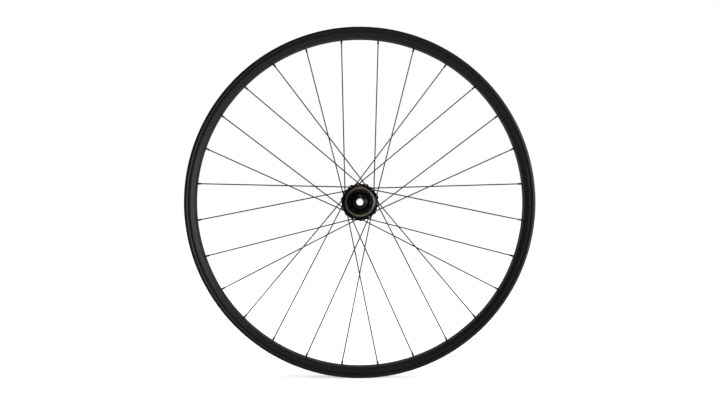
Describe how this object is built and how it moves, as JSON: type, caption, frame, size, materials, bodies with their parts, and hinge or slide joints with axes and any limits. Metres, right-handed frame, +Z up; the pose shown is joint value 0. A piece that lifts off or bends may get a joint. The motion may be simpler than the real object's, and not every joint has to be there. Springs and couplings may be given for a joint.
{
  "type": "bicycle rear wheel",
  "caption": "Spoked bicycle rear wheel: hollow black rim laced two-cross to a thru-axle disc hub whose splined freehub turns on its own bearings.",
  "frame": {"origin": "centre of the wheel, where the axle's axis meets the rim's middle plane", "axes": "+X forward, +Y along the axle to the disc side (the bicycle's left), +Z up towards the valve hole"},
  "size_m": [0.5968, 0.148, 0.5968],
  "materials": {
    "rim_black": "satin",
    "hub_black": "satin",
    "ring_champagne": "satin",
    "freehub_black": "satin",
    "cap_black": "satin",
    "axle_metal": "satin",
    "ratchet_steel": "satin",
    "spring_steel": "satin",
    "seal_rubber": "matte",
    "bearing_steel": "polished",
    "spoke_steel": "satin",
    "nipple_black": "satin"
  },
  "bodies": {
    "axle": {"axle": "axle_metal", "ratchet_spacer": "axle_metal", "freehub_spacer": "axle_metal", "drive_end_cap": "cap_black", "disc_end_cap": "cap_black", "disc_hub_bearing_balls": "bearing_steel", "disc_hub_bearing_inner_ring": "bearing_steel", "drive_hub_bearing_balls": "bearing_steel", "drive_hub_bearing_inner_ring": "bearing_steel", "inner_freehub_bearing_balls": "bearing_steel", "inner_freehub_bearing_inner_ring": "bearing_steel", "outer_freehub_bearing_balls": "bearing_steel", "outer_freehub_bearing_inner_ring": "bearing_steel"},
    "wheel": {"disc_hub_bearing_outer_ring": "bearing_steel", "disc_hub_bearing_seals": "seal_rubber", "disc_leading_spoke_1": "spoke_steel", "disc_leading_spoke_2": "spoke_steel", "disc_leading_spoke_3": "spoke_steel", "disc_leading_spoke_4": "spoke_steel", "disc_leading_spoke_5": "spoke_steel", "disc_leading_spoke_6": "spoke_steel", "disc_leading_spoke_7": "spoke_steel", "disc_trailing_spoke_1": "spoke_steel", "disc_trailing_spoke_2": "spoke_steel", "disc_trailing_spoke_3": "spoke_steel", "disc_trailing_spoke_4": "spoke_steel", "disc_trailing_spoke_5": "spoke_steel", "disc_trailing_spoke_6": "spoke_steel", "disc_trailing_spoke_7": "spoke_steel", "drive_hub_bearing_outer_ring": "bearing_steel", "drive_hub_bearing_seals": "seal_rubber", "drive_leading_spoke_1": "spoke_steel", "drive_leading_spoke_2": "spoke_steel", "drive_leading_spoke_3": "spoke_steel", "drive_leading_spoke_4": "spoke_steel", "drive_leading_spoke_5": "spoke_steel", "drive_leading_spoke_6": "spoke_steel", "drive_leading_spoke_7": "spoke_steel", "drive_trailing_spoke_1": "spoke_steel", "drive_trailing_spoke_2": "spoke_steel", "drive_trailing_spoke_3": "spoke_steel", "drive_trailing_spoke_4": "spoke_steel", "drive_trailing_spoke_5": "spoke_steel", "drive_trailing_spoke_6": "spoke_steel", "drive_trailing_spoke_7": "spoke_steel", "dust_ring": "ring_champagne", "hub_ratchet": "ratchet_steel", "hub_ratchet_spring": "spring_steel", "hub_shell": "hub_black", "lip_seal": "seal_rubber", "nipples": "nipple_black", "rim": "rim_black", "ring_nut": "ratchet_steel"},
    "freehub": {"freehub_body": "freehub_black", "freehub_ratchet": "ratchet_steel", "freehub_ratchet_spring": "spring_steel", "inner_freehub_bearing_outer_ring": "bearing_steel", "inner_freehub_bearing_seals": "seal_rubber", "outer_freehub_bearing_outer_ring": "bearing_steel", "outer_freehub_bearing_seals": "seal_rubber"}
  },
  "joints": [
    {"name": "wheel_spin", "type": "hinge", "parent": "axle", "child": "wheel", "pos_m": [0, 0, 0], "axis": [0, 1, 0], "continuous": true},
    {"name": "freehub_spin", "type": "hinge", "parent": "axle", "child": "freehub", "pos_m": [0, 0, 0], "axis": [0, 1, 0], "continuous": true}
  ]
}
